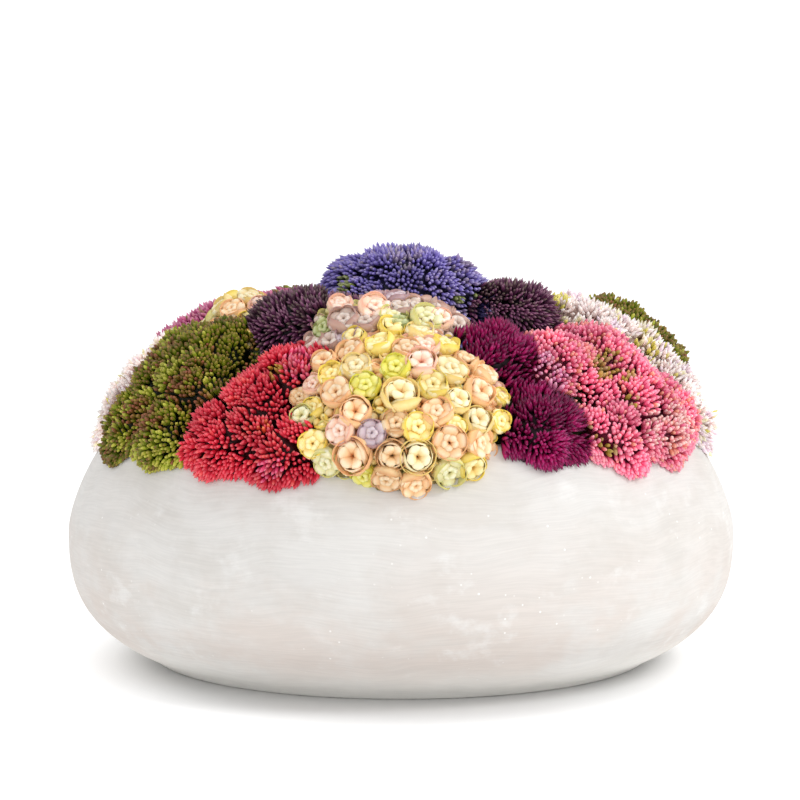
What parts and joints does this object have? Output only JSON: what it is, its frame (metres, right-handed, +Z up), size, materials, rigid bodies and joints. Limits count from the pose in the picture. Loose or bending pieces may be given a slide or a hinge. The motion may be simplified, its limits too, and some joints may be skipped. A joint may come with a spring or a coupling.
{
  "type": "potted sedum arrangement",
  "caption": "Low rounded whitewashed bowl filled with a dome of sedum heads: budded clusters and cream rosettes packed close round a foam mound.",
  "frame": {"origin": "centre of the bowl's flat base, on the surface that it stands on", "axes": "+Z up; -Y is the front, where the large cream rosette head is; +X is to the right seen from the front"},
  "size_m": [0.457, 0.457, 0.2858],
  "materials": {
    "whitewash": "whitewashed matte, brushed by hand",
    "foam": "dark moss-green floral foam",
    "cream": "waxy cream and peach rosettes",
    "blush": "waxy dusty blush rosettes",
    "violet": "powdery violet buds",
    "plum": "satin blackish plum buds",
    "magenta": "satin magenta buds with dark tips",
    "coral": "satin coral red buds",
    "green": "satin olive green buds with mauve tips",
    "pink": "satin rose pink buds",
    "pale": "powdery lilac white buds",
    "raspberry": "satin raspberry buds"
  },
  "bodies": {
    "root": {"bowl": "whitewash", "foam_mound": "foam", "cream_rosettes_front": "cream", "blush_rosettes_front": "blush", "violet_sedum_top": "violet", "plum_sedum_left": "plum", "plum_sedum_right": "plum", "magenta_sedum_upper": "magenta", "magenta_sedum_lower": "magenta", "coral_sedum_left": "coral", "green_sedum_left": "green", "pink_sedum_right": "pink", "pale_sedum_upper": "pale", "pale_sedum_lower": "pale", "green_sedum_right": "green", "lilac_sedum_left": "pale", "raspberry_sedum_left": "raspberry", "cream_rosettes_left": "cream", "coral_sedum_right": "coral", "pink_sedum_left": "pink", "plum_sedum_back": "plum", "lilac_sedum_back": "pale", "magenta_sedum_back": "magenta", "cream_rosettes_back": "cream", "coral_sedum_back": "coral", "green_sedum_back": "green"}
  },
  "joints": []
}
